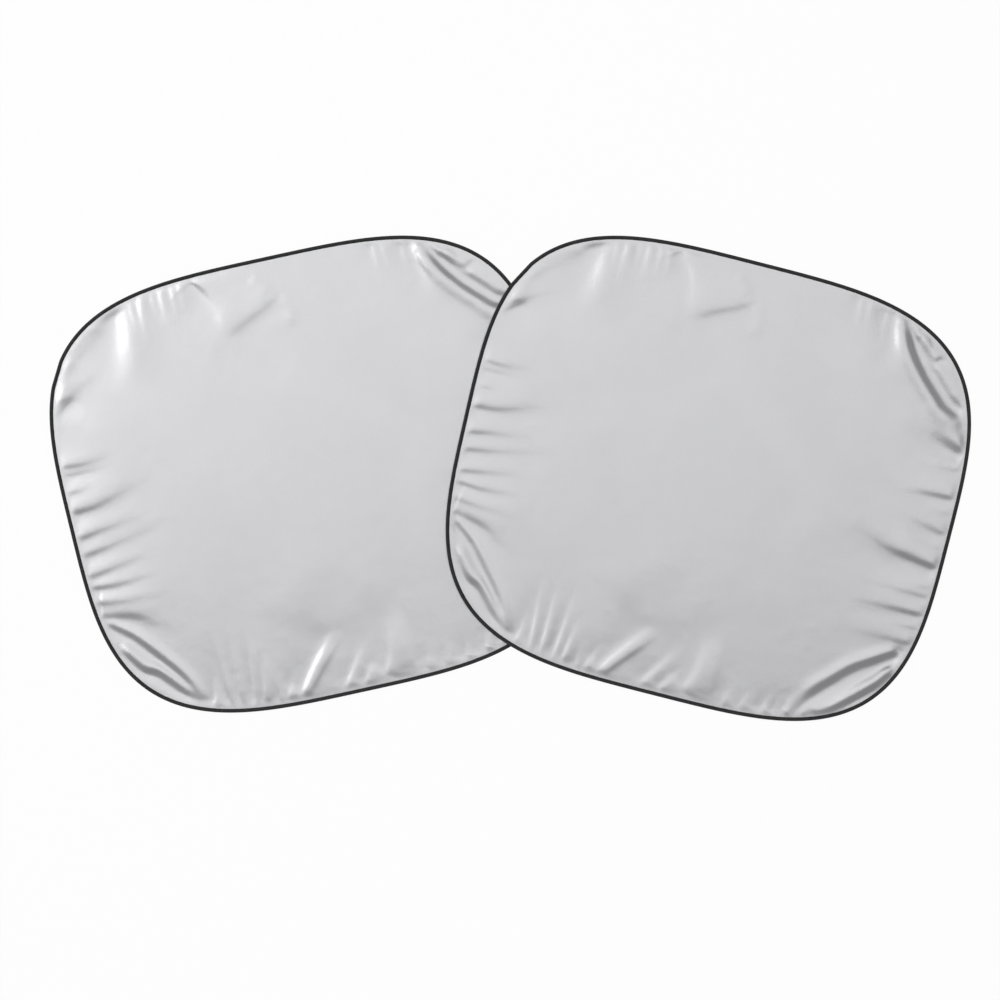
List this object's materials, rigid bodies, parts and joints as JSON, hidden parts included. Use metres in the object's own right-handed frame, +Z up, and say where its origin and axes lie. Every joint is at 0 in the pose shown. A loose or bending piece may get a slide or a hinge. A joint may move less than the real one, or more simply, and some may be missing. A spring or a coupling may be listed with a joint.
{
  "type": "windshield sunshade",
  "caption": "Pop-up windshield sunshade: overlapping rounded silver fabric panels, each stretched in a black-bound spring-wire hoop.",
  "frame": {"origin": "on the floor, under the middle of the whole shade's bounding box", "axes": "+X across both panels, towards the front panel; +Y towards the upper edges; +Z up, out of the faces that show"},
  "size_m": [1.4714, 0.7752, 0.0108],
  "materials": {
    "silver_fabric": "satin silver coating on a fine plain weave",
    "black_binding": "matte woven tape",
    "spring_steel": "drawn flat-grey wire",
    "crimped_steel": "satin"
  },
  "bodies": {
    "root": {"back_panel_fabric": "silver_fabric", "back_panel_binding": "black_binding", "back_panel_spring_wire": "spring_steel", "back_panel_wire_sleeve": "crimped_steel", "front_panel_fabric": "silver_fabric", "front_panel_binding": "black_binding", "front_panel_spring_wire": "spring_steel", "front_panel_wire_sleeve": "crimped_steel"}
  },
  "joints": []
}
